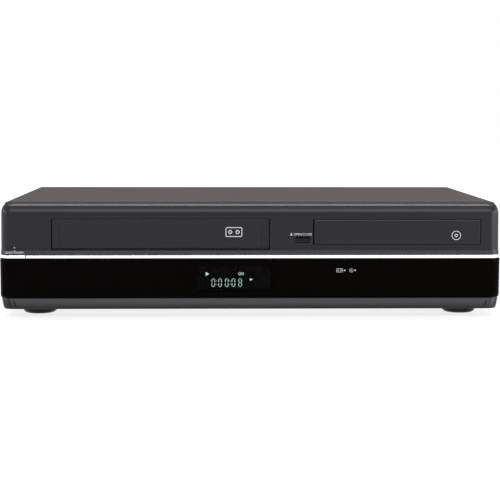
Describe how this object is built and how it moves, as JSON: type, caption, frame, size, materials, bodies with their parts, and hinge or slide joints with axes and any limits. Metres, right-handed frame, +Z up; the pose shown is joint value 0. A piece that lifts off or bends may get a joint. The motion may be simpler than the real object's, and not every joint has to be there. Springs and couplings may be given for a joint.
{
  "type": "dvd vcr combo player",
  "caption": "Full-width deck with a cassette flap on the left, a disc tray on the right, a bright strip with a power button, and a drop-down gloss door over the controls.",
  "frame": {"origin": "on the floor, under the middle of the deck's width and overall depth", "axes": "+X to the viewer's right seen from the front, -Y towards the viewer, +Z up"},
  "size_m": [0.4372, 0.268, 0.0995],
  "materials": {
    "charcoal": "satin charcoal moulding",
    "gloss_black": "gloss black acrylic",
    "cover_paint": "matt brownish grey paint on folded steel",
    "bright_trim": "bright plated strip",
    "zinc": "zinc plated sheet",
    "steel": "turned and ground",
    "black_plastic": "plain black inner moulding",
    "pale_plastic": "pale inner moulding",
    "board_green": "green printed board with its soldered parts",
    "rubber": "black rubber",
    "display_glass": "dark display glass"
  },
  "bodies": {
    "casing": {"capstan_motor": "black_plastic", "carriage_bracket_left": "zinc", "carriage_bracket_right": "zinc", "chassis_base": "zinc", "control_panel": "black_plastic", "cover_screw_left_front": "steel", "cover_screw_left_rear": "steel", "cover_screw_right_front": "steel", "cover_screw_right_rear": "steel", "display_module": "display_glass", "drive_frame": "black_plastic", "fan_frame": "black_plastic", "foot_front_left": "gloss_black", "foot_front_right": "gloss_black", "foot_rear_left": "gloss_black", "foot_rear_right": "gloss_black", "front_bezel": "charcoal", "front_board": "board_green", "front_jack_block": "black_plastic", "lower_drum": "steel", "main_board": "board_green", "mains_inlet": "black_plastic", "power_board": "board_green", "rear_jack_block": "black_plastic", "rear_panel": "zinc", "rear_screw_left": "steel", "rear_screw_right": "steel", "tape_deck_plate": "zinc", "top_cover": "cover_paint", "trim_strip": "bright_trim", "tuner_box": "zinc", "video_socket": "steel"},
    "front_door": {"front_door": "gloss_black"},
    "cassette_flap": {"cassette_flap": "charcoal"},
    "disc_tray": {"disc_tray": "black_plastic", "tray_front": "charcoal"},
    "tray_gear": {"tray_gear": "pale_plastic"},
    "power_button": {"power_button": "bright_trim"},
    "eject_button": {"eject_button": "charcoal"},
    "stop_key": {"stop_key": "pale_plastic"},
    "play_key": {"play_key": "pale_plastic"},
    "record_key": {"record_key": "pale_plastic"},
    "rewind_key": {"rewind_key": "pale_plastic"},
    "forward_key": {"forward_key": "pale_plastic"},
    "dub_key": {"dub_key": "pale_plastic"},
    "head_drum": {"head_drum": "steel"},
    "supply_spool": {"supply_spool": "pale_plastic"},
    "takeup_spool": {"takeup_spool": "pale_plastic"},
    "capstan": {"capstan": "steel"},
    "pinch_arm": {"pinch_arm": "zinc"},
    "pinch_roller": {"pinch_roller": "rubber"},
    "carriage_slider": {"carriage_slider": "zinc"},
    "cassette_cradle": {"cassette_cradle": "zinc"},
    "traverse_base": {"traverse_base": "zinc"},
    "turntable": {"turntable": "pale_plastic"},
    "laser_sled": {"laser_sled": "black_plastic"},
    "disc_clamp": {"disc_clamp": "pale_plastic"},
    "fan_rotor": {"fan_rotor": "black_plastic"}
  },
  "joints": [
    {"name": "front_door_hinge", "type": "hinge", "parent": "casing", "child": "front_door", "pos_m": [0, -0.129, 0.0225], "axis": [1, 0, 0], "range_deg": [0, 90]},
    {"name": "cassette_flap_hinge", "type": "hinge", "parent": "casing", "child": "cassette_flap", "pos_m": [-0.07855, -0.126, 0.0896], "axis": [1, 0, 0], "range_deg": [0, 90], "stiffness_Nm_per_rad": 0.005, "springref_deg": -20.05},
    {"name": "disc_tray_slide", "type": "slide", "parent": "casing", "child": "disc_tray", "axis": [0, -1, 0], "range_m": [0, 0.138]},
    {"name": "tray_gear_spin", "type": "hinge", "parent": "casing", "child": "tray_gear", "pos_m": [0.17115, -0.104, 0.0655], "axis": [0, 0, 1], "range_deg": [-900, 0]},
    {"name": "power_button_press", "type": "slide", "parent": "casing", "child": "power_button", "axis": [0, 1, 0], "range_m": [0, 0.001], "stiffness_N_per_m": 400, "springref_m": -0.0005},
    {"name": "eject_button_press", "type": "slide", "parent": "casing", "child": "eject_button", "axis": [0, 1, 0], "range_m": [0, 0.001], "stiffness_N_per_m": 300, "springref_m": -0.0005},
    {"name": "stop_key_press", "type": "slide", "parent": "casing", "child": "stop_key", "axis": [0, 1, 0], "range_m": [0, 0.001], "stiffness_N_per_m": 300, "springref_m": -0.0005},
    {"name": "play_key_press", "type": "slide", "parent": "casing", "child": "play_key", "axis": [0, 1, 0], "range_m": [0, 0.001], "stiffness_N_per_m": 300, "springref_m": -0.0005},
    {"name": "record_key_press", "type": "slide", "parent": "casing", "child": "record_key", "axis": [0, 1, 0], "range_m": [0, 0.001], "stiffness_N_per_m": 300, "springref_m": -0.0005},
    {"name": "rewind_key_press", "type": "slide", "parent": "casing", "child": "rewind_key", "axis": [0, 1, 0], "range_m": [0, 0.001], "stiffness_N_per_m": 300, "springref_m": -0.0005},
    {"name": "forward_key_press", "type": "slide", "parent": "casing", "child": "forward_key", "axis": [0, 1, 0], "range_m": [0, 0.001], "stiffness_N_per_m": 300, "springref_m": -0.0005},
    {"name": "dub_key_press", "type": "slide", "parent": "casing", "child": "dub_key", "axis": [0, 1, 0], "range_m": [0, 0.001], "stiffness_N_per_m": 300, "springref_m": -0.0005},
    {"name": "head_drum_spin", "type": "hinge", "parent": "casing", "child": "head_drum", "pos_m": [-0.07855, 0.086, 0.04081], "axis": [0, -0.104, 0.9946], "continuous": true},
    {"name": "supply_spool_spin", "type": "hinge", "parent": "casing", "child": "supply_spool", "pos_m": [-0.12455, -0.002, 0.0345], "axis": [0, 0, 1], "continuous": true},
    {"name": "takeup_spool_spin", "type": "hinge", "parent": "casing", "child": "takeup_spool", "pos_m": [-0.03255, -0.002, 0.0345], "axis": [0, 0, 1], "continuous": true},
    {"name": "capstan_spin", "type": "hinge", "parent": "casing", "child": "capstan", "pos_m": [-0.012, 0.058, 0.0342], "axis": [0, 0, 1], "continuous": true},
    {"name": "pinch_arm_swing", "type": "hinge", "parent": "casing", "child": "pinch_arm", "pos_m": [0, 0.076, 0.0372], "axis": [0, 0, -1], "range_deg": [0, 11.8]},
    {"name": "pinch_roller_spin", "type": "hinge", "parent": "pinch_arm", "child": "pinch_roller", "pos_m": [0, 0.058, 0.0388], "axis": [0, 0, 1], "continuous": true},
    {"name": "carriage_slide", "type": "slide", "parent": "casing", "child": "carriage_slider", "axis": [0, 1, 0], "range_m": [0, 0.056]},
    {"name": "cassette_cradle_drop", "type": "slide", "parent": "carriage_slider", "child": "cassette_cradle", "axis": [0, 0, -1], "range_m": [0, 0.02]},
    {"name": "traverse_lift", "type": "hinge", "parent": "casing", "child": "traverse_base", "pos_m": [0.12805, 0.044, 0.0571], "axis": [-1, 0, 0], "range_deg": [0, 3.2]},
    {"name": "turntable_spin", "type": "hinge", "parent": "traverse_base", "child": "turntable", "pos_m": [0.12805, -0.0592, 0.0655], "axis": [0, 0, 1], "continuous": true},
    {"name": "laser_sled_slide", "type": "slide", "parent": "traverse_base", "child": "laser_sled", "axis": [0, 1, 0], "range_m": [0, 0.034]},
    {"name": "disc_clamp_spin", "type": "hinge", "parent": "casing", "child": "disc_clamp", "pos_m": [0.12805, -0.0592, 0.0776], "axis": [0, 0, 1], "continuous": true},
    {"name": "fan_spin", "type": "hinge", "parent": "casing", "child": "fan_rotor", "pos_m": [0.16, 0.118, 0.073], "axis": [0, 1, 0], "continuous": true}
  ],
  "couplings": [
    {"joint": "tray_gear_spin", "follows": "disc_tray_slide", "rad_per_m": -113.64}
  ]
}
